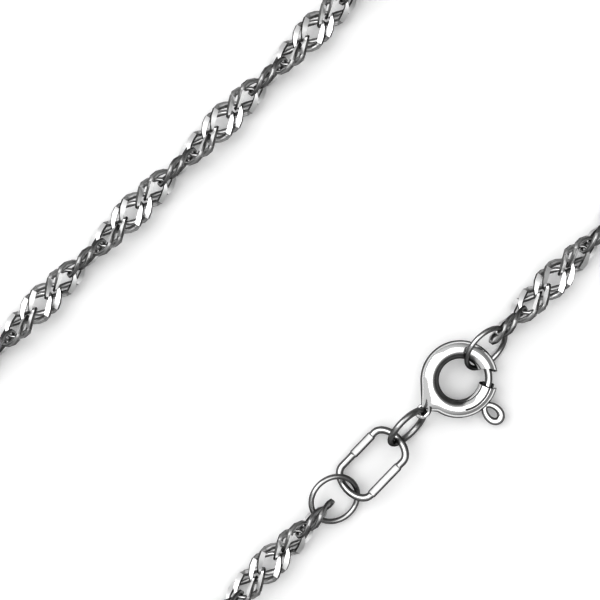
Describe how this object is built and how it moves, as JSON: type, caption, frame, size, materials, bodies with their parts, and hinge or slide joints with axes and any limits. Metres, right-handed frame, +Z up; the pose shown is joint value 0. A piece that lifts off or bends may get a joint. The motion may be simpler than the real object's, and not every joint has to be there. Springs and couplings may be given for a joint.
{
  "type": "singapore chain necklace",
  "caption": "Twisted double curb chain necklace lying flat in a long loop, closed by a spring ring clasp with a sliding thumb bolt.",
  "frame": {"origin": "middle of the necklace's box, on the surface that it lies on", "axes": "+X along the two straight strands, +Y from the strand with the clasp to the other, +Z up from the surface"},
  "size_m": [0.2148, 0.0268, 0.003],
  "materials": {
    "polished_silver": "polished sterling silver",
    "diamond_cut_silver": "polished sterling silver with diamond-cut flats"
  },
  "bodies": {
    "necklace": {"clasp_body": "polished_silver", "jump_ring": "polished_silver", "tag_link": "polished_silver", "end_ring_tag": "polished_silver", "end_ring_clasp": "polished_silver", "end_link_tag": "diamond_cut_silver", "end_link_clasp": "diamond_cut_silver", "chain": "diamond_cut_silver"},
    "trigger": {"clasp_trigger": "polished_silver"}
  },
  "joints": [
    {"name": "trigger_turn", "type": "hinge", "parent": "necklace", "child": "trigger", "pos_m": [0.00353, -0.00944, 0.00128], "axis": [0, 0.1736, -0.9848], "range_deg": [0, 31], "stiffness_Nm_per_rad": 0.0005, "springref_deg": -11.46}
  ]
}
